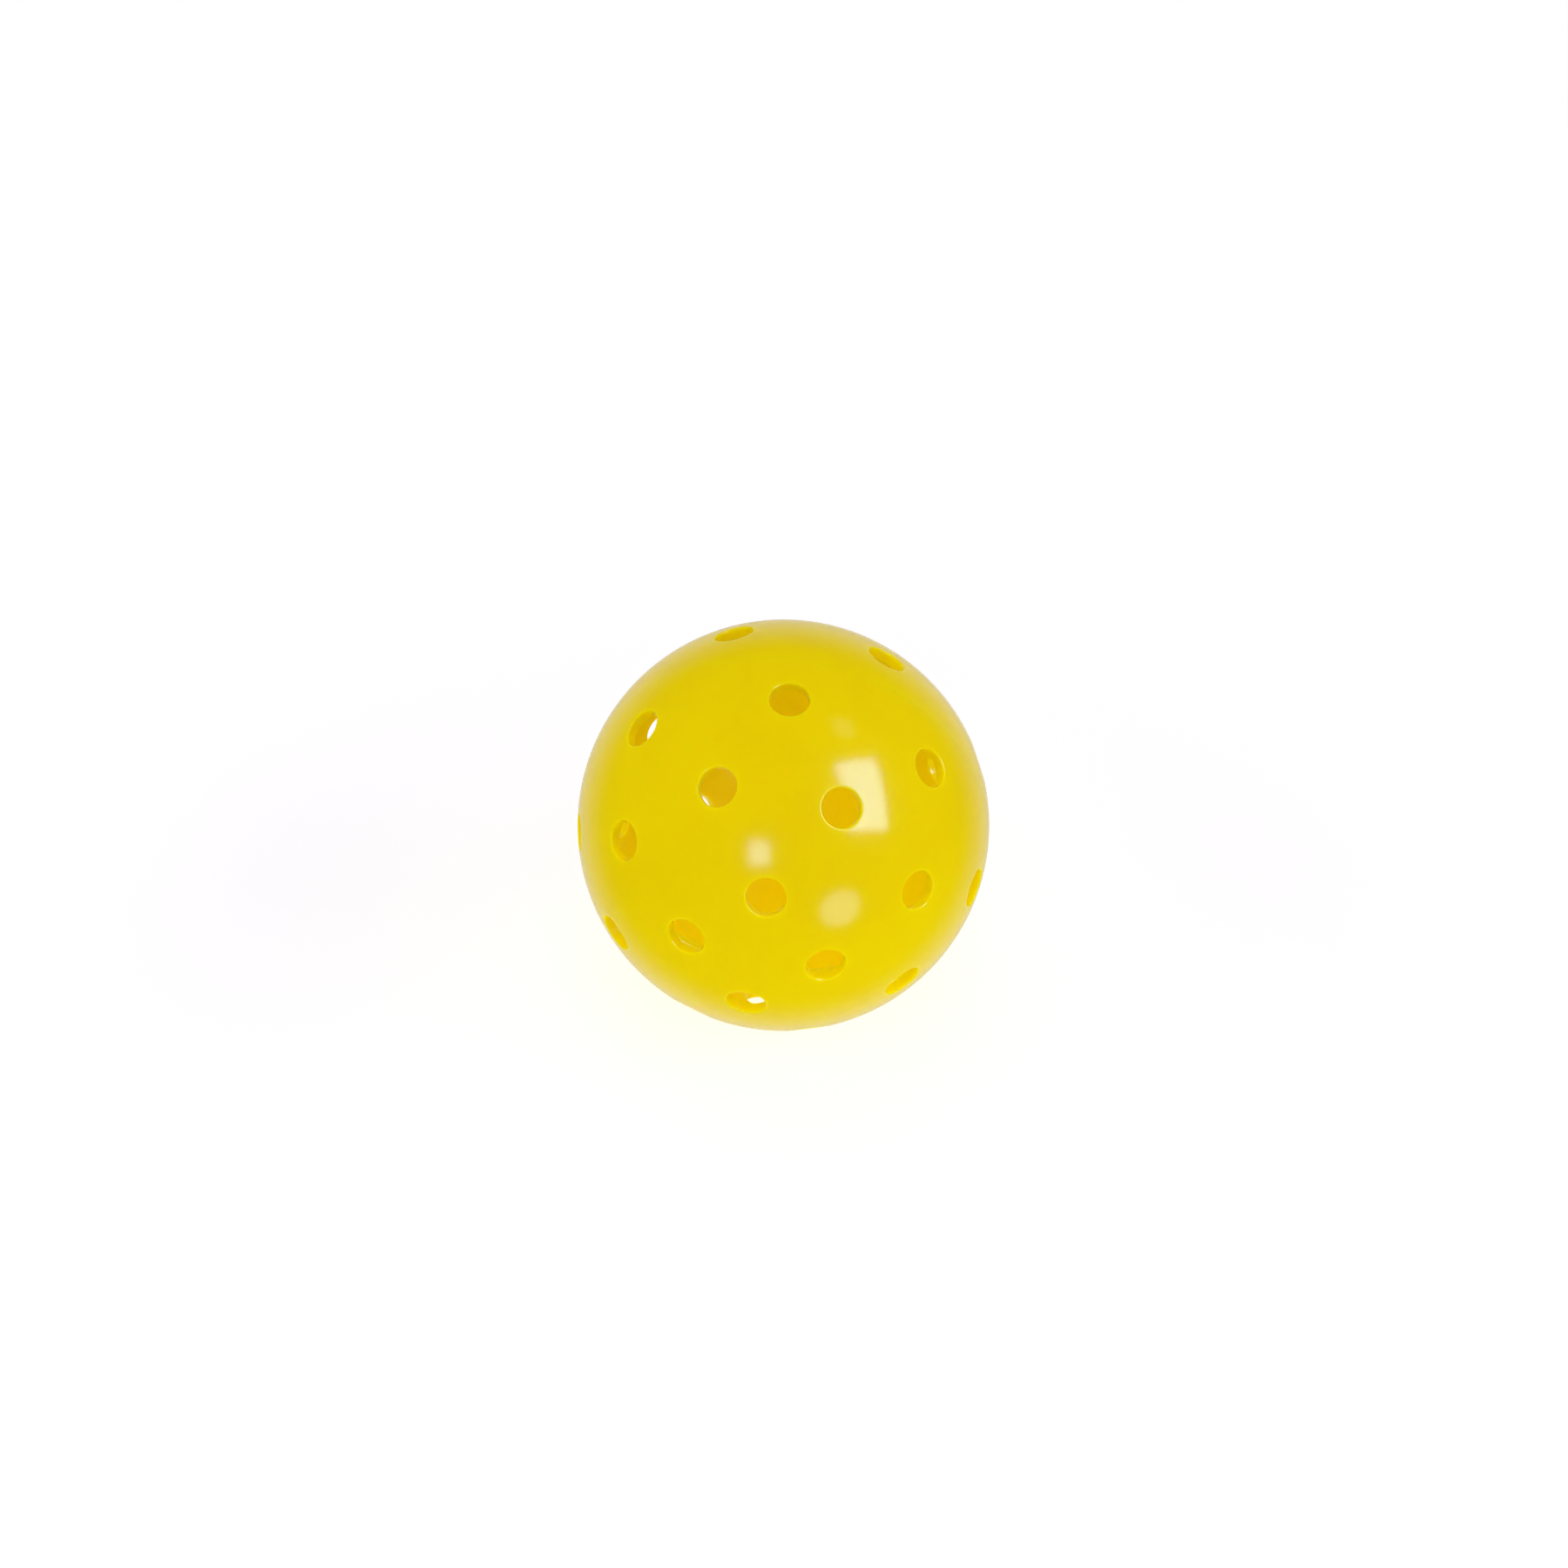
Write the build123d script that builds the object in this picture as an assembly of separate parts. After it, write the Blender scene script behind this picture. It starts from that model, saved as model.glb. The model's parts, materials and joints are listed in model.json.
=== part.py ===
from build123d import *
from math import degrees
import os

# Pickleball ball: a hollow, perforated plastic ball, welded together from two half shells.
# Both halves are one and the same moulding. The rear one is turned over, and tongues and
# sockets that alternate round the rim key it to the front one.
# Millimetres. Origin at the centre of the ball, +Z up. The moulding axis is level: the front
# half's pole faces -Y, and the weld lies in the XZ plane.

# Driving dimensions
ball_diameter = 74.0
wall = 1.9
hole_diameter = 6.9
outer_lip_radius = 0.30  # rounding where a hole meets the outside
inner_lip_radius = 0.12  # rounding where a hole meets the inside

# Hole rings of one half. Each is its count, its angle from the pole and the azimuth of one of
# its holes. Azimuths start at the line about which one half is turned over to give the other,
# so the middle ring of one half lines up with the rim ring of the other.
half_stagger = 12.25
hole_rings = [
    (4, 19.3, 52.75),
    (8, 48.6, -half_stagger),
    (8, 74.2, half_stagger),
]
clocking = 28.8  # turn of the whole ball about its moulding axis

# Tongues and sockets, in the middle of the wall at the rim
key_count = 4
key_thickness = 0.6
key_height = 0.8
key_arc = 30.0  # degrees of rim that one tongue covers
key_side_gap = 0.03
key_end_gap = 0.10

# Ring of plastic that the weld squeezes inwards
bead_width = 1.8
bead_height = 0.5

# Sizes that follow
outer_radius = ball_diameter / 2
inner_radius = outer_radius - wall
mid_radius = outer_radius - wall / 2
hole_radius = hole_diameter / 2
drill_start = inner_radius - wall
drill_length = 3 * wall
key_azimuth = 360 / key_count / 4  # tongues lie this far to one side, sockets to the other
key_root = wall / 4  # a tongue's foot reaches this far into the wall, so that the two fuse
radius_tolerance = 0.01


def hole_drill(polar_angle, azimuth):
    """The drill for one hole, a cylinder that points straight out from the centre."""
    drill = Cylinder(hole_radius, drill_length, align=(Align.CENTER, Align.CENTER, Align.MIN))
    return Rot(0, 0, azimuth) * Rot(0, polar_angle, 0) * Pos(0, 0, drill_start) * drill


def hole_drills():
    """The drills for all the holes of one half."""
    drills = []
    for count, polar_angle, first_azimuth in hole_rings:
        for index in range(count):
            drills.append(hole_drill(polar_angle, first_azimuth + index * 360 / count))
    return drills


def rim_blocks(middle_azimuth, gap, depth_below, height_above):
    """Curved blocks evenly spaced round the rim, each wider than a tongue by the gap all round."""
    width = key_thickness + 2 * gap
    arc = key_arc + degrees(2 * gap / mid_radius)
    section = Plane.XZ * Pos(mid_radius, (height_above - depth_below) / 2)
    section = section * Rectangle(width, depth_below + height_above)
    block = revolve(section, Axis.Z, arc)
    blocks = []
    for index in range(key_count):
        start = middle_azimuth - arc / 2 + index * 360 / key_count
        blocks.append(Rot(0, 0, start) * block)
    return blocks


def lip_edges(half, low, high):
    """The hole edges whose circle centres lie between two distances from the ball's centre."""

    def is_lip(edge):
        on_hole = abs(edge.radius - hole_radius) < radius_tolerance
        return on_hole and low < edge.arc_center.length < high

    return half.edges().filter_by(GeomType.CIRCLE).filter_by(is_lip)


def half_shell():
    """One moulding, pole up: half of the wall with its holes, lips, tongues and sockets."""
    half = Sphere(outer_radius, arc_size1=0, align=None) - Sphere(inner_radius)
    half = half - hole_drills()
    half = fillet(lip_edges(half, mid_radius, outer_radius), outer_lip_radius)
    half = fillet(lip_edges(half, drill_start, mid_radius), inner_lip_radius)
    half = half + rim_blocks(key_azimuth, 0, key_height, key_root)
    return half - rim_blocks(-key_azimuth, key_side_gap, key_root, key_height + key_end_gap)


def weld_bead():
    """The ring inside the ball, between its inner wall and a shallow rounded crest."""
    half_width = bead_width / 2
    edge_radius = (inner_radius**2 - half_width**2) ** 0.5
    foot = ThreePointArc((edge_radius, -half_width), (inner_radius, 0), (edge_radius, half_width))
    crest = ThreePointArc(
        (edge_radius, half_width),
        (inner_radius - bead_height, 0),
        (edge_radius, -half_width),
    )
    return revolve(Plane.XZ * make_face(foot + crest), Axis.Z, 360)


def single_solid(shape):
    """The one solid that a shape holds."""
    solids = shape.solids()
    if len(solids) != 1:
        raise ValueError(f"expected one solid, found {len(solids)}")
    return solids[0]


def build():
    """Every piece of the ball, by name, with the moulding axis laid level along Y."""
    placed = Rot(90, 0, 0) * Rot(0, 0, clocking)
    moulding = half_shell()
    return {
        "front_half_shell": placed * moulding,
        "rear_half_shell": placed * Rot(180, 0, 0) * moulding,
        "weld_bead": placed * weld_bead(),
    }


os.makedirs("parts", exist_ok=True)
for name, shape in build().items():
    solid = single_solid(shape)
    print(f"{name}: {solid.volume / 1000:.3f} cm3")
    export_step(solid, f"parts/{name}.step")
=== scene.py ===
import json
import math

import bpy
from bpy.props import FloatProperty, FloatVectorProperty, IntProperty, PointerProperty
from mathutils import Matrix, Vector


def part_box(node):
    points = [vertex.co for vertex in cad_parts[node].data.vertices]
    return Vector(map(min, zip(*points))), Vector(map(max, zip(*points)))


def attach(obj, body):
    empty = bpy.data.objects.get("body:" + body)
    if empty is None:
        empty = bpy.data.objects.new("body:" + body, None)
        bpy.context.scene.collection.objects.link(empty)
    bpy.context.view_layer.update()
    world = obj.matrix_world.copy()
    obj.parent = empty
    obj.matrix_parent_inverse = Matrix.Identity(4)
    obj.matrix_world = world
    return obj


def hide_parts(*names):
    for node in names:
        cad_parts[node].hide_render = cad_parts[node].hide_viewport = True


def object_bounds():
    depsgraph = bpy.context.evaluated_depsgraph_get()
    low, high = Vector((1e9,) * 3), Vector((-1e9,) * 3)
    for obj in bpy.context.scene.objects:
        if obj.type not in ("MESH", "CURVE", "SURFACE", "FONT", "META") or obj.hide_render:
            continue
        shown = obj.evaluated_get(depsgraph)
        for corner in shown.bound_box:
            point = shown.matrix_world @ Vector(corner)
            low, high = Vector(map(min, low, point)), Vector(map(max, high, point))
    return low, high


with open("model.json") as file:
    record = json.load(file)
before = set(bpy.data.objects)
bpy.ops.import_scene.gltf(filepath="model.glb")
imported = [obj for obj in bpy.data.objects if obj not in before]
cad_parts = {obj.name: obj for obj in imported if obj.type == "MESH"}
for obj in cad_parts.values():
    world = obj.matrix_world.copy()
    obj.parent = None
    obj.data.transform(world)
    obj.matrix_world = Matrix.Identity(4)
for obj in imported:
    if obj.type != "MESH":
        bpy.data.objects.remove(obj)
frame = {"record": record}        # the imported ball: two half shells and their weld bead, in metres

bl_info = {
    "name": "Perforated Game Ball",
    "version": (1, 0, 0),
    "blender": (4, 5, 0),
    "location": "View3D > Sidebar > Ball",
    "description": "Moulded half shells, weld bead and studio for a perforated game ball",
    "category": "Object",
}

# ---------------------------------------------------------------------------
# Sizes that the frame gives
# ---------------------------------------------------------------------------

CAD_LOW, CAD_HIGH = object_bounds()
MM = 0.001
BODY = "root"
BALL_RADIUS = -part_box("front_half_shell")[0].y
BEAD_LOW, BEAD_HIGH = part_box("weld_bead")
INNER_RADIUS = BEAD_HIGH.x
CORD_HOLE = next(m for m in frame["record"]["mounts"] if m["name"] == "cord_hole_in")
HOLE_RADIUS = CORD_HOLE["dims"]["r_mm"] * MM

# The rings of holes of one half: count, angle from the pole, azimuth of one hole.
HALF_STAGGER = math.radians(12.25)
HOLE_RINGS = (
    (4, math.radians(19.3), math.radians(52.75)),
    (8, math.radians(48.6), -HALF_STAGGER),
    (8, math.radians(74.2), HALF_STAGGER),
)
CLOCKING = math.radians(28.8)

# One half is modelled pole up and then laid down, so that its pole faces -Y.
FRONT_PLACE = Matrix.Rotation(math.pi / 2, 4, "X") @ Matrix.Rotation(CLOCKING, 4, "Z")
REAR_PLACE = FRONT_PLACE @ Matrix.Rotation(math.pi, 4, "X")

# Tongues and sockets of the rim
KEY_COUNT = 4
KEY_THICKNESS = 0.6 * MM
KEY_HEIGHT = 0.8 * MM
KEY_END_GAP = 0.1 * MM
KEY_ARC = math.radians(30)

# Faces along one line from a cell's border, over the lip, through the bore and back
OUTER_SKIN_STEPS = 12
OUTER_LIP_STEPS = 6
BORE_STEPS = 3
INNER_LIP_STEPS = 3
INNER_SKIN_STEPS = 9
SEAM_SNAP = 0.00001
WELD_DISTANCE = 0.001 * MM


# ---------------------------------------------------------------------------
# Node graphs written as Python expressions
# ---------------------------------------------------------------------------

class Signal:
    """One output of a node. Arithmetic on it adds the Math or Vector Math nodes."""

    def __init__(self, graph, socket):
        self.graph = graph
        self.socket = socket

    @property
    def is_vector(self):
        return self.socket.type in {"VECTOR", "RGBA"}

    def __add__(self, other):
        return self.graph.maths("ADD", self, other)

    def __radd__(self, other):
        return self.graph.maths("ADD", other, self)

    def __sub__(self, other):
        return self.graph.maths("SUBTRACT", self, other)

    def __rsub__(self, other):
        return self.graph.maths("SUBTRACT", other, self)

    def __mul__(self, other):
        if self.is_vector and not is_vector(other):
            return self.graph.scaled(self, other)
        if is_vector(other) and not self.is_vector:
            return self.graph.scaled(other, self)
        return self.graph.maths("MULTIPLY", self, other)

    __rmul__ = __mul__

    def __truediv__(self, other):
        return self.graph.maths("DIVIDE", self, other)

    def __rtruediv__(self, other):
        return self.graph.maths("DIVIDE", other, self)

    def __pow__(self, other):
        return self.graph.maths("POWER", self, other)

    def __neg__(self):
        return self * -1.0

    def __gt__(self, other):
        return self.graph.maths("GREATER_THAN", self, other)

    def __lt__(self, other):
        return self.graph.maths("LESS_THAN", self, other)


def is_vector(value):
    """True for a vector signal, a Vector or a tuple."""
    if isinstance(value, Signal):
        return value.is_vector
    return isinstance(value, (tuple, Vector))


class Graph:
    """A node tree that is built from expressions and named nodes."""

    def __init__(self, tree):
        self.tree = tree

    def feed(self, socket, value):
        """Links a signal to a socket, or sets the socket to a plain value."""
        if isinstance(value, Signal):
            self.tree.links.new(value.socket, socket)
        elif value is not None:
            socket.default_value = value

    def node(self, kind, settings=None, inputs=None, output=0):
        """Adds a node: its settings first, then its inputs. Returns one output, or all by name."""
        made = self.tree.nodes.new(kind)
        for name, value in (settings or {}).items():
            if name == "captures":
                for data_type, label in value:
                    made.capture_items.new(data_type, label)
            else:
                setattr(made, name, value)
        for name, value in (inputs or {}).items():
            for one in value if isinstance(value, list) else [value]:
                self.feed(made.inputs[name], one)
        if output == "all":
            return {socket.name: Signal(self, socket) for socket in made.outputs}
        return Signal(self, made.outputs[output]) if made.outputs else made

    def maths(self, operation, *values):
        """One Math node, or one Vector Math node where any value is a vector."""
        vector = any(is_vector(value) for value in values)
        kind = "ShaderNodeVectorMath" if vector else "ShaderNodeMath"
        single = operation in {"DOT_PRODUCT", "LENGTH", "DISTANCE"}
        made = self.tree.nodes.new(kind)
        made.operation = operation
        for socket, value in zip(made.inputs, values):
            self.feed(socket, value)
        return Signal(self, made.outputs["Value" if single or not vector else "Vector"])

    def scaled(self, vector, factor):
        """A vector times a number."""
        return self.node(
            "ShaderNodeVectorMath", {"operation": "SCALE"}, {0: vector, "Scale": factor}
        )

    def clamped(self, value):
        """A number held between 0 and 1."""
        return self.node("ShaderNodeClamp", inputs={"Value": value})

    def eased(self, value, low, high, result_low=0.0, result_high=1.0):
        """A number that eases from one result to another while a value goes from low to high."""
        return self.node(
            "ShaderNodeMapRange",
            {"interpolation_type": "SMOOTHSTEP"},
            {
                "Value": value,
                "From Min": low,
                "From Max": high,
                "To Min": result_low,
                "To Max": result_high,
            },
        )

    def direction(self, vector):
        """A vector at length 1."""
        return self.maths("NORMALIZE", vector)

    def xyz(self, vector):
        """The three parts of a vector."""
        return self.node("ShaderNodeSeparateXYZ", inputs={0: vector}, output="all")

    def blend(self, factor, first, second):
        """A colour between two colours."""
        return self.node(
            "ShaderNodeMix",
            {"data_type": "RGBA"},
            {0: factor, 6: first, 7: second},
            output=2,
        )

    def both(self, first, second):
        """True where both are."""
        return self.node("FunctionNodeBooleanMath", {"operation": "AND"}, {0: first, 1: second})


class ShapeGraph(Graph):
    """A Geometry Nodes tree with named inputs and one finished mesh."""

    def __init__(self, name, inputs):
        super().__init__(bpy.data.node_groups.new(name, "GeometryNodeTree"))
        self.tree.is_modifier = True
        self.identifiers = {}
        for label, kind in inputs:
            socket = self.tree.interface.new_socket(label, in_out="INPUT", socket_type=kind)
            self.identifiers[label] = socket.identifier
        self.tree.interface.new_socket("Mesh", in_out="OUTPUT", socket_type="NodeSocketGeometry")
        self.given = self.node("NodeGroupInput", output="all")

    def position(self):
        return self.node("GeometryNodeInputPosition")

    def place(self, geometry, position=None, selection=None, offset=None):
        """Moves the selected points."""
        inputs = {"Geometry": geometry, "Selection": selection}
        inputs["Position"] = position
        inputs["Offset"] = offset
        return self.node("GeometryNodeSetPosition", inputs=inputs)

    def capture(self, geometry, domain, data_type, label, value):
        """Keeps a field on a geometry. Returns the geometry and the kept field."""
        kept = self.node(
            "GeometryNodeCaptureAttribute",
            {"captures": [(data_type, label)], "domain": domain},
            {"Geometry": geometry, label: value},
            output="all",
        )
        return kept["Geometry"], kept[label]

    def finish(self, geometry):
        """Makes everything real, gives it the material and ends the tree."""
        real = self.node("GeometryNodeRealizeInstances", inputs={"Geometry": geometry})
        painted = self.node(
            "GeometryNodeSetMaterial", inputs={"Geometry": real, "Material": self.given["Material"]}
        )
        end = self.tree.nodes.new("NodeGroupOutput")
        self.tree.links.new(painted.socket, end.inputs[0])

    def run(self, name, mesh, values):
        """Runs the tree on a mesh and returns the plain mesh that comes out."""
        source = bpy.data.objects.new(name, mesh)
        bpy.context.scene.collection.objects.link(source)
        modifier = source.modifiers.new(self.tree.name, "NODES")
        modifier.node_group = self.tree
        for label, value in values.items():
            modifier[self.identifiers[label]] = value
        graph = bpy.context.evaluated_depsgraph_get()
        result = bpy.data.meshes.new_from_object(source.evaluated_get(graph))
        source.modifiers.remove(modifier)
        bpy.data.objects.remove(source)
        return result


# ---------------------------------------------------------------------------
# Half shells
# ---------------------------------------------------------------------------

def hole_directions():
    """Unit vectors to the holes of one half, pole up."""
    directions = []
    for count, polar, first in HOLE_RINGS:
        for index in range(count):
            azimuth = first + index * math.tau / count
            flat = math.sin(polar)
            directions.append(
                Vector((flat * math.cos(azimuth), flat * math.sin(azimuth), math.cos(polar)))
            )
    return directions


def check_against_frame():
    """Stops if the rings don't put a hole where the frame's record has its cord hole."""
    axis = Vector(CORD_HOLE["axis"])
    nearest = min((FRONT_PLACE @ d - axis).length for d in hole_directions())
    if nearest > 0.001:
        raise RuntimeError(f"the hole rings miss the frame's cord hole by {nearest:.4f}")


def cell_outlines(g):
    """One closed curve round each hole, on the unit sphere, with the hole's direction kept on it.

    The outline is halfway to the neighbouring holes. Mirrored copies of the holes across the
    seam make the outermost outlines end on the seam itself.
    """
    holes = g.given["Holes"]
    mirrored = g.node(
        "GeometryNodeTransform", inputs={"Geometry": holes, "Scale": (1.0, 1.0, -1.0)}
    )
    together = g.node("GeometryNodeJoinGeometry", inputs={"Geometry": [holes, mirrored]})
    hull = g.node("GeometryNodeConvexHull", inputs={"Geometry": together})
    hull, corner = g.capture(hull, "FACE", "VECTOR", "Corner", g.node("GeometryNodeInputNormal"))
    hull, hole = g.capture(hull, "POINT", "VECTOR", "Hole", g.position())
    cells = g.node("GeometryNodeDualMesh", inputs={"Mesh": hull})
    cells = g.place(cells, g.direction(corner))
    cells = g.node("GeometryNodeMergeByDistance", inputs={"Geometry": cells, "Distance": 0.0001})
    below = g.xyz(hole)["Z"] < 0.0
    cells = g.node(
        "GeometryNodeDeleteGeometry", {"domain": "FACE"}, {"Geometry": cells, "Selection": below}
    )
    cells = g.node("GeometryNodeSplitEdges", inputs={"Mesh": cells})
    cells, hole = g.capture(cells, "POINT", "VECTOR", "Hole", hole)
    outlines = g.node("GeometryNodeMeshToCurve", inputs={"Mesh": cells})
    turning = g.maths("CROSS_PRODUCT", g.position(), g.node("GeometryNodeInputTangent"))
    winding = g.maths("DOT_PRODUCT", turning, hole)
    outlines, winding = g.capture(outlines, "POINT", "FLOAT", "Winding", winding)
    outlines = g.node(
        "GeometryNodeReverseCurve", inputs={"Curve": outlines, "Selection": winding > 0.0}
    )
    index = g.node("GeometryNodeInputIndex")
    following = g.node(
        "GeometryNodeOffsetPointInCurve",
        inputs={"Point Index": index, "Offset": 1},
        output="all",
    )["Point Index"]
    next_position = g.node(
        "GeometryNodeFieldAtIndex",
        {"data_type": "FLOAT_VECTOR", "domain": "POINT"},
        {"Index": following, "Value": g.position()},
    )
    side = g.maths("DISTANCE", g.position(), next_position) * g.given["Radius"]
    cuts = g.maths("FLOOR", side / g.given["Spacing"])
    outlines = g.node("GeometryNodeSubdivideCurve", inputs={"Curve": outlines, "Cuts": cuts})
    parts = g.xyz(g.position())
    off_seam = g.maths("ABSOLUTE", parts["Z"]) > SEAM_SNAP
    snapped = g.node(
        "ShaderNodeCombineXYZ", inputs={"X": parts["X"], "Y": parts["Y"], "Z": parts["Z"] * off_seam}
    )
    return g.place(outlines, g.direction(snapped)), hole


def circle_through(g, distance, off):
    """The angle from the hole's axis and the height along it of a point at a given distance
    from the ball's centre and a given distance off the axis."""
    along = g.maths("SQRT", distance * distance - off * off)
    return g.maths("ARCTAN2", off, along), along


def pierced_wall(g):
    """The whole wall as one strip of faces round each hole, joined where the cells meet.

    Each strip runs from its cell's border over the outside to the lip, through the bore, and
    back along the inside. It is worked out in the plane of the hole's axis: how far along the
    axis and how far off it. The runs join end to end, so each adds only its own travel.
    """
    radius = g.given["Radius"]
    inner = g.given["Inner Radius"]
    hole_radius = g.given["Hole Radius"]
    outer_lip = g.given["Outer Lip"]
    inner_lip = g.given["Inner Lip"]

    outlines, hole = cell_outlines(g)
    outlines, border = g.capture(outlines, "POINT", "VECTOR", "Border", g.position())
    steps = (
        OUTER_SKIN_STEPS + OUTER_LIP_STEPS + BORE_STEPS + INNER_LIP_STEPS + INNER_SKIN_STEPS
    )
    line = g.node("GeometryNodeCurvePrimitiveLine")
    line = g.node("GeometryNodeResampleCurve", inputs={"Curve": line, "Count": steps + 1})
    line, step = g.capture(line, "POINT", "FLOAT", "Step", g.node("GeometryNodeInputIndex"))
    strips = g.node("GeometryNodeCurveToMesh", inputs={"Curve": outlines, "Profile Curve": line})

    border_angle = g.maths("ARCCOSINE", g.maths("DOT_PRODUCT", hole, border))
    outer_off = hole_radius + outer_lip
    outer_angle, outer_along = circle_through(g, radius - outer_lip, outer_off)
    inner_off = hole_radius + inner_lip
    inner_angle, inner_along = circle_through(g, inner + inner_lip, inner_off)
    quarter = math.pi / 2

    def arc(centre_along, centre_off, size, angle):
        return (
            centre_along + size * g.maths("COSINE", angle),
            centre_off + size * g.maths("SINE", angle),
        )

    def outer_skin(share):
        eased = 1.0 - (1.0 - share) ** 1.6
        return arc(0.0, 0.0, radius, border_angle + (outer_angle - border_angle) * eased)

    def outer_round(share):
        return arc(outer_along, outer_off, outer_lip, outer_angle - (outer_angle + quarter) * share)

    def bore(share):
        return outer_along + (inner_along - outer_along) * share, hole_radius + share * 0.0

    def inner_round(share):
        return arc(inner_along, inner_off, inner_lip, (inner_angle - quarter) * share - quarter)

    def inner_skin(share):
        return arc(0.0, 0.0, inner, inner_angle + (border_angle - inner_angle) * share ** 1.4)

    runs = (
        (OUTER_SKIN_STEPS, outer_skin),
        (OUTER_LIP_STEPS, outer_round),
        (BORE_STEPS, bore),
        (INNER_LIP_STEPS, inner_round),
        (INNER_SKIN_STEPS, inner_skin),
    )
    start = g.clamped(0.0)
    along, off = outer_skin(start)
    first = 0
    for count, run in runs:
        share = g.clamped((step - float(first)) / float(count))
        from_along, from_off = run(start)
        to_along, to_off = run(share)
        along = along + (to_along - from_along)
        off = off + (to_off - from_off)
        first += count

    outwards = g.direction(border - hole * g.maths("DOT_PRODUCT", hole, border))
    strips = g.place(strips, hole * along + outwards * off)
    return g.node(
        "GeometryNodeMergeByDistance", inputs={"Geometry": strips, "Distance": WELD_DISTANCE}
    )


def on_circle(g, radius):
    """The nearest place on a flat circle about the moulding axis, in the seam's plane."""
    flat = g.direction(g.position() * Vector((1.0, 1.0, 0.0)))
    return flat * radius


def closed_rim(g, wall):
    """Closes the wall at the seam with a flat rim that has tongues and sockets."""
    radius = g.given["Radius"]
    inner = g.given["Inner Radius"]
    relief = g.given["Seam Relief"]
    middle = (radius + inner) * 0.5

    def open_outer_edge():
        neighbours = g.node("GeometryNodeInputMeshEdgeNeighbors")
        is_open = neighbours < 1.5
        return g.both(is_open, g.maths("LENGTH", g.position()) > middle)

    lift = g.node("ShaderNodeCombineXYZ", inputs={"Z": relief})
    wall = g.place(wall, selection=open_outer_edge(), offset=lift)
    selection = open_outer_edge()
    key_outside = middle + KEY_THICKNESS / 2
    key_inside = middle - KEY_THICKNESS / 2
    for ring in (radius - relief, key_outside, key_inside, inner):
        extruded = g.node(
            "GeometryNodeExtrudeMesh",
            {"mode": "EDGES"},
            {"Mesh": wall, "Selection": selection, "Offset Scale": 0.0},
            output="all",
        )
        selection = extruded["Top"]
        wall = g.place(extruded["Mesh"], on_circle(g, ring), selection)
    wall = g.node(
        "GeometryNodeMergeByDistance", inputs={"Geometry": wall, "Distance": WELD_DISTANCE}
    )
    # Tongues stand where this wave is high, and sockets lie where it is low.
    flat = g.xyz(g.position())
    azimuth = g.maths("ARCTAN2", flat["Y"], flat["X"])
    wave = g.maths("COSINE", (azimuth - math.pi / KEY_COUNT / 2) * float(KEY_COUNT))
    level = math.cos(KEY_COUNT * KEY_ARC / 2)
    on_rim = g.maths("ABSOLUTE", flat["Z"]) < WELD_DISTANCE
    from_middle = g.maths("ABSOLUTE", g.maths("LENGTH", g.position()) - middle)
    on_key = g.both(on_rim, from_middle < KEY_THICKNESS / 2)
    wall, tongue = g.capture(wall, "FACE", "BOOLEAN", "Tongue", g.both(on_key, wave > level))
    wall, socket = g.capture(wall, "FACE", "BOOLEAN", "Socket", g.both(on_key, wave < -level))
    for chosen, travel in ((tongue, -KEY_HEIGHT), (socket, KEY_HEIGHT + KEY_END_GAP)):
        travel = g.node("ShaderNodeCombineXYZ", inputs={"Z": travel})
        wall = g.node(
            "GeometryNodeExtrudeMesh",
            {"mode": "FACES"},
            {"Mesh": wall, "Selection": chosen, "Offset": travel, "Individual": False},
        )
    return wall


def shell_graph():
    """The tree that turns hole directions into one moulded half shell."""
    names = ("Radius", "Inner Radius", "Hole Radius", "Outer Lip", "Inner Lip")
    inputs = [("Holes", "NodeSocketGeometry")]
    inputs += [(name, "NodeSocketFloat") for name in (*names, "Seam Relief", "Spacing")]
    inputs += [("Material", "NodeSocketMaterial")]
    g = ShapeGraph("Moulded half shell", inputs)
    shell = closed_rim(g, pierced_wall(g))
    smooth = g.node("GeometryNodeSetShadeSmooth", {"domain": "FACE"}, {"Geometry": shell})
    angle = g.node("GeometryNodeInputMeshEdgeAngle", output="all")["Unsigned Angle"]
    shell = g.node(
        "GeometryNodeSetShadeSmooth",
        {"domain": "EDGE"},
        {"Geometry": smooth, "Selection": angle > math.radians(40), "Shade Smooth": False},
    )
    g.finish(shell)
    return g


def settle(name, mesh, replaced):
    """Puts a finished mesh in the scene, riding on the ball in place of its plain part."""
    piece = bpy.data.objects.new(name, mesh)
    bpy.context.scene.collection.objects.link(piece)
    piece.visible_shadow = False
    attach(piece, BODY)
    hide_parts(replaced)
    return piece


# ---------------------------------------------------------------------------
# Weld bead
# ---------------------------------------------------------------------------

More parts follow.
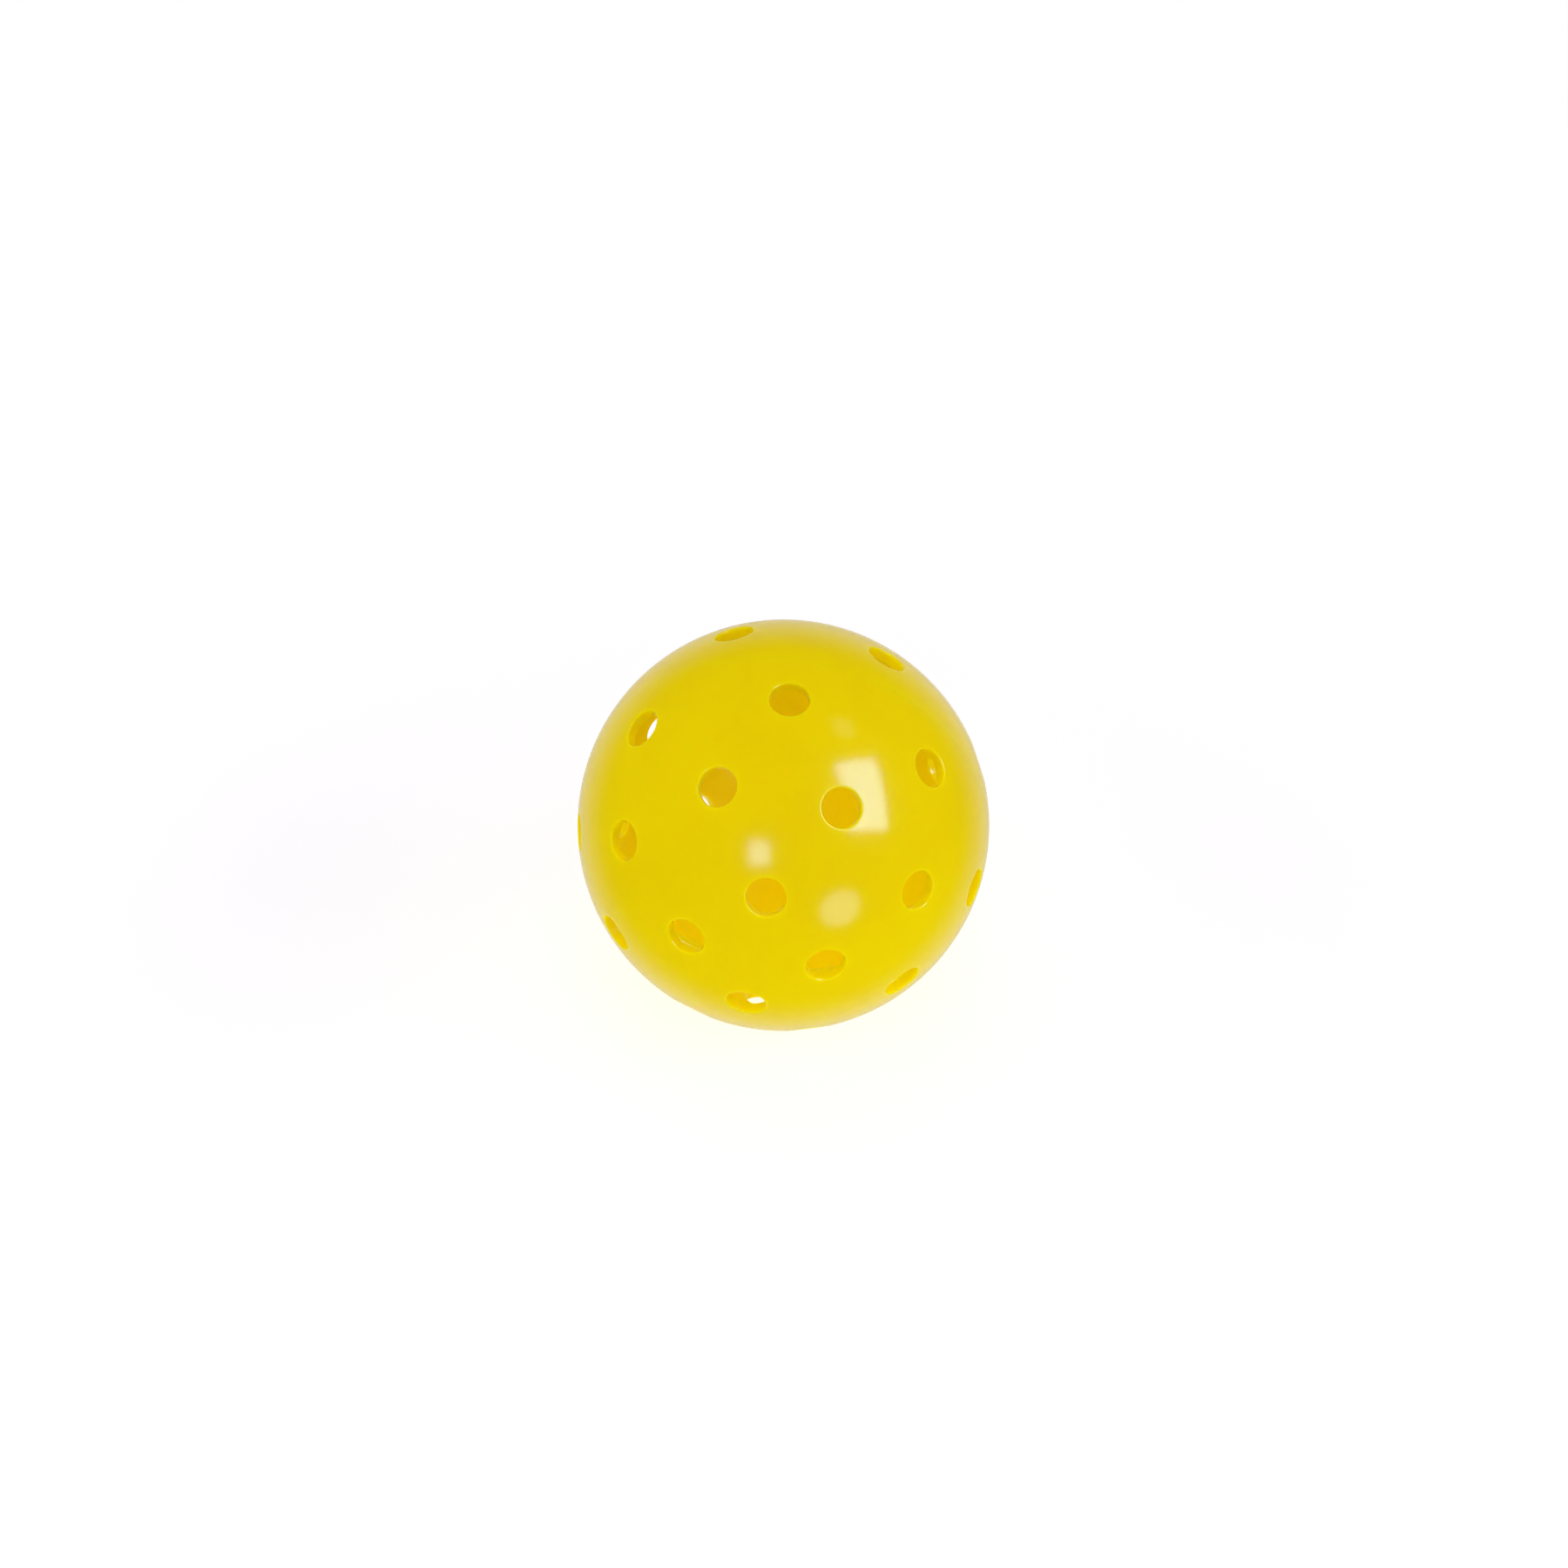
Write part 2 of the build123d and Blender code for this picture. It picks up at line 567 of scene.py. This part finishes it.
def bead_graph():
    """The tree that sweeps the weld's squeezed-in ridge round the inside of the seam."""
    inputs = [("Start", "NodeSocketGeometry")]
    inputs += [(n, "NodeSocketFloat") for n in ("Radius", "Width", "Height", "Lumpiness", "Seed")]
    inputs += [("Material", "NodeSocketMaterial")]
    g = ShapeGraph("Weld bead", inputs)
    radius = g.given["Radius"]
    circle = g.node("GeometryNodeCurvePrimitiveCircle", inputs={"Resolution": 420, "Radius": radius})
    ring = g.node("GeometryNodeCurvePrimitiveCircle", inputs={"Resolution": 20, "Radius": MM})
    ring, turn = g.capture(
        ring,
        "POINT",
        "FLOAT",
        "Turn",
        g.node("GeometryNodeSplineParameter", output="all")["Factor"] * -math.tau,
    )
    circle, along = g.capture(circle, "POINT", "VECTOR", "Along", g.direction(g.position()))
    tube = g.node("GeometryNodeCurveToMesh", inputs={"Curve": circle, "Profile Curve": ring})

    def lumps(scale, detail):
        noise = g.node(
            "ShaderNodeTexNoise",
            {"noise_dimensions": "4D"},
            {"Vector": along, "W": g.given["Seed"], "Scale": scale, "Detail": detail},
        )
        return (noise - 0.5) * 2.0

    swell = lumps(9.0, 2.0) * g.given["Lumpiness"] + lumps(34.0, 3.0) * g.given["Lumpiness"] * 0.6
    half_width = g.given["Width"] * 0.5 * (1.0 + swell * 0.35)
    across = g.maths("COSINE", turn)
    rise = g.maths("MAXIMUM", g.maths("SINE", turn), 0.0)
    # Two lips roll back from the joint line, with a shallow valley between them.
    valley = 1.0 - g.clamped(1.0 - g.maths("ABSOLUTE", across) / 0.42) ** 2.0 * 0.45
    depth = rise * valley * g.given["Height"] * g.clamped(0.72 + swell * 0.5)
    height = across * half_width
    outside = g.maths("SQRT", radius * radius - height * height)
    upright = g.node("ShaderNodeCombineXYZ", inputs={"Z": height})
    bead = g.place(tube, along * (outside - depth) + upright)
    g.finish(g.node("GeometryNodeSetShadeSmooth", {"domain": "FACE"}, {"Geometry": bead}))
    return g


# ---------------------------------------------------------------------------
# Materials
# ---------------------------------------------------------------------------

def plastic(name, colour, deep_colour, roughness, wave_depth):
    """Glossy polyethylene that lets some light through, with the faint unevenness of a moulding."""
    material = bpy.data.materials.new(name)
    material.use_nodes = True
    material.node_tree.nodes.clear()
    g = Graph(material.node_tree)
    where = g.node("ShaderNodeTexCoord", output="all")["Object"]

    def noise(scale, detail, rough=0.5, distortion=0.0, at=where):
        return g.node(
            "ShaderNodeTexNoise",
            inputs={
                "Vector": at,
                "Scale": scale,
                "Detail": detail,
                "Roughness": rough,
                "Distortion": distortion,
            },
        )

    flow = g.eased(noise(42.0, 4.0, 0.55, 1.2), 0.35, 0.68)
    specks = g.eased(noise(2600.0, 1.0), 0.70, 0.78)
    tint = g.blend(flow * 0.45, colour, deep_colour)
    tint = g.blend(specks * 0.10, tint, deep_colour)

    stretched = g.node(
        "ShaderNodeMapping",
        inputs={"Vector": where, "Rotation": (0.5, 0.9, 0.3), "Scale": (1.0, 14.0, 1.0)},
    )
    rubs = g.eased(noise(210.0, 5.0, 0.7, 0.4, stretched), 0.60, 0.82)
    shine = roughness + rubs * 0.10 + (flow - 0.5) * 0.03

    waves = noise(170.0, 2.0, 0.4)
    peel = noise(1500.0, 2.0, 0.5)
    relief = waves * wave_depth + peel * (wave_depth * 0.14) - rubs * (wave_depth * 0.04)
    bump = g.node(
        "ShaderNodeBump", inputs={"Height": relief, "Strength": 1.0, "Distance": 1.0}
    )
    shader = g.node(
        "ShaderNodeBsdfPrincipled",
        inputs={
            "Base Color": tint,
            "Roughness": shine,
            "Normal": bump,
            "IOR": 1.5,
            "Subsurface Weight": 1.0,
            "Subsurface Radius": (1.0, 0.85, 0.12),
            "Subsurface Scale": 0.0016,
        },
    )
    g.node("ShaderNodeOutputMaterial", inputs={"Surface": shader})
    return material


def plain(name, colour, roughness, glow):
    """A matt, softly lit stage surface with a very faint mottle, which also glows: painted light,
    faint and bluish in its middle and pure white towards its edge.
    """
    material = bpy.data.materials.new(name)
    material.use_nodes = True
    material.node_tree.nodes.clear()
    g = Graph(material.node_tree)
    where = g.node("ShaderNodeTexCoord", output="all")["Object"]
    mottle = g.node("ShaderNodeTexNoise", inputs={"Vector": where, "Scale": 3.0, "Detail": 2.0})
    # Painted light: the floor's glow rises from its faint bluish colour near the middle to pure
    # white towards its edge.
    rim = g.eased(g.maths("LENGTH", where), FLOOR_MIDDLE, FLOOR_RADIUS)
    glow = g.blend(rim, glow, PURE_WHITE)
    darker = tuple(c * 0.985 for c in colour[:3]) + (1.0,)
    tint = g.blend(mottle, colour, darker)
    shader = g.node(
        "ShaderNodeBsdfPrincipled",
        inputs={
            "Base Color": tint,
            "Roughness": roughness,
            "Specular IOR Level": 0.2,
            "Emission Color": glow,
            "Emission Strength": 1.0,
        },
    )
    g.node("ShaderNodeOutputMaterial", inputs={"Surface": shader})
    return material


# ---------------------------------------------------------------------------
# Stage
# ---------------------------------------------------------------------------

COOL_WHITE = (0.45, 0.7, 1.0)
WARM_WHITE = (1.0, 0.97, 0.92)
PURE_WHITE = (1.0, 1.0, 1.0, 1.0)
WARM_ROOM = (0.20, 0.175, 0.03, 1.0)
WHITE_ROOM = (0.70, 0.66, 0.60, 1.0)
# Painted light: the colour of the floor's own glow near its middle.
FLOOR_GLOW = (0.25, 0.27, 0.46, 1.0)
FLOOR_RADIUS = 0.45
FLOOR_MIDDLE = 0.10
FILL_DISTANCE = 1.5
FILL_SIZE = 1.4
SENSOR_WIDTH = 36.0
VIEW_WIDTH = 0.2894      # of the picture at the ball, over its distance
AIM_ABOVE = 0.0074
AIM_ACROSS = 0.0001


def area_light(name, width, height, power, shape):
    """A soft light that the camera doesn't see."""
    light = bpy.data.lights.new(name, "AREA")
    light.shape = shape
    light.size = width
    light.size_y = height
    light.energy = power
    light.color = COOL_WHITE
    lamp = bpy.data.objects.new(name, light)
    bpy.context.scene.collection.objects.link(lamp)
    lamp.visible_camera = False
    return lamp


class View:
    """The studio camera's directions, with the ball's centre at the origin."""

    def __init__(self, azimuth, elevation, distance):
        flat = math.cos(elevation)
        self.front = Vector(
            (flat * math.sin(azimuth), -flat * math.cos(azimuth), math.sin(elevation))
        )
        self.right = Vector((math.cos(azimuth), math.sin(azimuth), 0.0))
        self.up = self.front.cross(self.right)
        self.eye = self.front * distance

    def normal(self, across, above):
        """The unit normal of the ball at the point that is this far from its middle."""
        forward = math.sqrt(1.0 - across * across - above * above)
        return self.right * across + self.up * above + self.front * forward

    def fill(self, name, across, above, power):
        """A broad softbox that only fills in diffuse light, and leaves no glint."""
        lamp = area_light(name, FILL_SIZE, FILL_SIZE, power, "DISK")
        lamp.data.color = WARM_WHITE
        away = self.normal(across, above)
        lamp.rotation_euler = away.to_track_quat("Z", "Y").to_euler()
        lamp.location = away * FILL_DISTANCE
        lamp.visible_glossy = False
        return lamp

    def glint(self, name, across, above, reach, width, height, power, turn=0.0, shape="RECTANGLE"):
        """A softbox that the camera sees mirrored, upright, at one point of the ball.

        It shows only as a gloss: the fills and the room give the ball its soft light.
        """
        lamp = area_light(name, width, height, power, shape)
        normal = self.normal(across, above)
        point = normal * BALL_RADIUS
        away = (point - self.eye).normalized().reflect(normal)
        upright = self.up.reflect(normal)
        level = upright.cross(away).normalized()
        facing = Matrix((level, away.cross(level), away)).transposed()
        lamp.rotation_euler = (facing @ Matrix.Rotation(turn, 3, "Z")).to_euler()
        lamp.location = point + away * reach
        lamp.visible_diffuse = False
        return lamp


def studio_world(front, near_colour, far_colour):
    """A room that is dimmer and warmer on the camera's side and white behind the ball."""
    world = bpy.data.worlds.new("Studio room")
    world.use_nodes = True
    world.node_tree.nodes.clear()
    g = Graph(world.node_tree)
    where = g.node("ShaderNodeTexCoord", output="all")["Generated"]
    behind = g.eased(g.maths("DOT_PRODUCT", where, front) * -1.0, 0.40, 0.92)
    room = g.blend(behind, near_colour, far_colour)
    seen = g.node("ShaderNodeLightPath", output="all")["Is Camera Ray"]
    room = g.blend(seen, room, PURE_WHITE)
    surface = g.node("ShaderNodeBackground", inputs={"Color": room})
    g.node("ShaderNodeOutputWorld", inputs={"Surface": surface})
    bpy.context.scene.world = world


def floor_mesh(radius, level):
    """A round floor, finely enough divided to take soft light evenly."""
    around = 96
    rings = 6
    points = [(0.0, 0.0, level)]
    faces = []
    for ring in range(1, rings + 1):
        size = radius * (ring / rings) ** 2
        for index in range(around):
            angle = index * math.tau / around
            points.append((size * math.cos(angle), size * math.sin(angle), level))
    for index in range(around):
        after = (index + 1) % around
        faces.append((0, 1 + index, 1 + after))
        for ring in range(rings - 1):
            low = 1 + ring * around
            high = low + around
            faces.append((low + index, high + index, high + after, low + after))
    mesh = bpy.data.meshes.new("studio_floor")
    mesh.from_pydata(points, [], faces)
    return mesh


def aimed_camera(position, target, lens):
    """A level camera."""
    camera = bpy.data.cameras.new("Camera")
    camera.lens = lens
    camera.sensor_width = SENSOR_WIDTH
    camera.clip_start = 0.01
    holder = bpy.data.objects.new("Camera", camera)
    bpy.context.scene.collection.objects.link(holder)
    holder.location = position
    holder.rotation_euler = (target - position).to_track_quat("-Z", "Y").to_euler()
    bpy.context.scene.camera = holder
    return holder


# ---------------------------------------------------------------------------
# Settings
# ---------------------------------------------------------------------------

def length_property(name, description, default):
    """A length that a user can change."""
    return FloatProperty(
        name=name,
        description=description,
        default=default,
        min=0.0,
        subtype="DISTANCE",
        unit="LENGTH",
    )


def colour_property(name, description, default):
    """A colour that a user can change."""
    return FloatVectorProperty(
        name=name,
        description=description,
        default=default,
        size=3,
        min=0.0,
        max=1.0,
        subtype="COLOR",
    )


class BallShellSettings(bpy.types.PropertyGroup):
    """Sizes and colours of the half shells"""

    outer_lip: length_property("Outer lip", "Rounding where a hole meets the outside", 0.3 * MM)
    inner_lip: length_property("Inner lip", "Rounding where a hole meets the inside", 0.12 * MM)
    seam_relief: length_property("Seam relief", "Bevel beside the weld line", 0.01 * MM)
    spacing: length_property("Spacing", "Longest face side along a cell's border", 0.8 * MM)
    colour: colour_property("Plastic", "Colour of the moulded plastic", (0.875, 0.74, 0.0))
    deep_colour: colour_property("Deep plastic", "Colour in its flow lines", (0.845, 0.685, 0.0))


class BallBeadSettings(bpy.types.PropertyGroup):
    """Size and unevenness of the weld bead"""

    height: length_property("Height", "How far the bead stands in from the wall", 0.46 * MM)
    lumpiness: FloatProperty(name="Lumpiness", description="How uneven it is", default=0.5, min=0.0)
    seed: IntProperty(name="Seed", description="Which unevenness it gets", default=4)


class BallStudioSettings(bpy.types.PropertyGroup):
    """Camera and floor"""

    azimuth: FloatProperty(
        name="Azimuth",
        description="Camera's turn from the front of the ball",
        default=math.radians(7.77),
        subtype="ANGLE",
    )
    elevation: FloatProperty(
        name="Elevation",
        description="Camera's height above the floor",
        default=math.radians(38.5),
        subtype="ANGLE",
    )
    distance: length_property("Distance", "Camera to the ball's centre", 13.2 * BALL_RADIUS)
    floor_colour: colour_property("Floor", "Colour of the floor", (0.92, 0.92, 0.92))


# ---------------------------------------------------------------------------
# Operators
# ---------------------------------------------------------------------------

class BALL_OT_half_shells(bpy.types.Operator):
    """Makes the front and rear half shells from one moulding"""

    bl_idname = "ball.half_shells"
    bl_label = "Half shells"

    def execute(self, context):
        settings = context.scene.ball_shell
        check_against_frame()
        holes = bpy.data.meshes.new("hole_directions")
        holes.from_pydata(hole_directions(), [], [])
        finish = plastic(
            "Yellow moulded plastic",
            (*settings.colour, 1.0),
            (*settings.deep_colour, 1.0),
            roughness=0.15,
            wave_depth=0.00005,
        )
        values = {
            "Radius": BALL_RADIUS,
            "Inner Radius": INNER_RADIUS,
            "Hole Radius": HOLE_RADIUS,
            "Outer Lip": settings.outer_lip,
            "Inner Lip": settings.inner_lip,
            "Seam Relief": settings.seam_relief,
            "Spacing": settings.spacing,
            "Material": finish,
        }
        moulding = shell_graph().run("moulding", holes, values)
        for name, place in (("front_half", FRONT_PLACE), ("rear_half", REAR_PLACE)):
            mesh = moulding.copy()
            mesh.name = name
            mesh.transform(place)
            settle(name, mesh, f"{name}_shell")
        bpy.data.meshes.remove(moulding)
        return {"FINISHED"}


class BALL_OT_weld_bead(bpy.types.Operator):
    """Makes the uneven ring of plastic inside the weld"""

    bl_idname = "ball.weld_bead"
    bl_label = "Weld bead"

    def execute(self, context):
        settings = context.scene.ball_bead
        shell = context.scene.ball_shell
        finish = plastic(
            "Re-melted plastic",
            (*shell.deep_colour, 1.0),
            tuple(c * 0.9 for c in shell.deep_colour) + (1.0,),
            roughness=0.28,
            wave_depth=0.00005,
        )
        values = {
            "Radius": INNER_RADIUS,
            "Width": BEAD_HIGH.y - BEAD_LOW.y,
            "Height": settings.height,
            "Lumpiness": settings.lumpiness,
            "Seed": float(settings.seed),
            "Material": finish,
        }
        mesh = bead_graph().run("bead", bpy.data.meshes.new("start"), values)
        mesh.transform(FRONT_PLACE)
        mesh.name = "weld_ridge"
        settle("weld_ridge", mesh, "weld_bead")
        return {"FINISHED"}


class BALL_OT_studio(bpy.types.Operator):
    """Sets up the floor, the soft lights and the camera"""

    bl_idname = "ball.studio"
    bl_label = "Studio"

    def execute(self, context):
        settings = context.scene.ball_studio
        view = View(settings.azimuth, settings.elevation, settings.distance)
        floor = bpy.data.objects.new("studio_floor", floor_mesh(FLOOR_RADIUS, CAD_LOW.z))
        pale = plain("Pale floor", (*settings.floor_colour, 1.0), 0.8, FLOOR_GLOW)
        floor.data.materials.append(pale)
        bpy.context.scene.collection.objects.link(floor)
        floor.visible_glossy = False

        view.glint("Key softbox", 0.367, 0.137, 0.60, 0.26, 0.40, 2.9, math.radians(8))
        view.glint("Small softbox", -0.111, -0.126, 0.60, 0.12, 0.14, 0.40)
        view.glint("Low softbox", 0.257, -0.377, 0.11, 0.046, 0.046, 0.016, shape="ELLIPSE")
        view.glint("Faint softbox", 0.274, 0.446, 0.8, 0.14, 0.14, 0.05)
        view.fill("Front fill", 0.1, 0.1, 7.2)
        view.fill("Left fill", -0.92, 0.0, 5.2)
        view.fill("Right fill", 0.92, 0.0, 6.6)
        view.fill("Top fill", -0.1, 0.92, 10.0)
        view.fill("Bottom fill", 0.0, -0.92, 0.8)
        studio_world(view.front, WARM_ROOM, WHITE_ROOM)

        target = view.up * AIM_ABOVE + view.right * AIM_ACROSS
        aimed_camera(view.eye, target, SENSOR_WIDTH / 2 / VIEW_WIDTH)
        context.scene.view_settings.view_transform = "Standard"
        return {"FINISHED"}


class BALL_PT_panel(bpy.types.Panel):
    """Lists what the add-on makes"""

    bl_idname = "BALL_PT_panel"
    bl_label = "Perforated game ball"
    bl_space_type = "VIEW_3D"
    bl_region_type = "UI"
    bl_category = "Ball"

    def draw(self, context):
        for operator in OPERATORS:
            self.layout.operator(operator.bl_idname)
        for group in (context.scene.ball_shell, context.scene.ball_bead, context.scene.ball_studio):
            box = self.layout.box()
            for name in group.bl_rna.properties.keys():
                if name not in {"rna_type", "name"}:
                    box.prop(group, name)


OPERATORS = (BALL_OT_half_shells, BALL_OT_weld_bead, BALL_OT_studio)
CLASSES = (BallShellSettings, BallBeadSettings, BallStudioSettings, *OPERATORS, BALL_PT_panel)


def register():
    for cls in CLASSES:
        bpy.utils.register_class(cls)
    bpy.types.Scene.ball_shell = PointerProperty(type=BallShellSettings)
    bpy.types.Scene.ball_bead = PointerProperty(type=BallBeadSettings)
    bpy.types.Scene.ball_studio = PointerProperty(type=BallStudioSettings)


def unregister():
    del bpy.types.Scene.ball_studio
    del bpy.types.Scene.ball_bead
    del bpy.types.Scene.ball_shell
    for cls in reversed(CLASSES):
        bpy.utils.unregister_class(cls)


def main():
    """Registers the add-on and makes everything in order."""
    register()
    bpy.ops.ball.half_shells()
    bpy.ops.ball.weld_bead()
    bpy.ops.ball.studio()


if __name__ == "__main__":
    main()
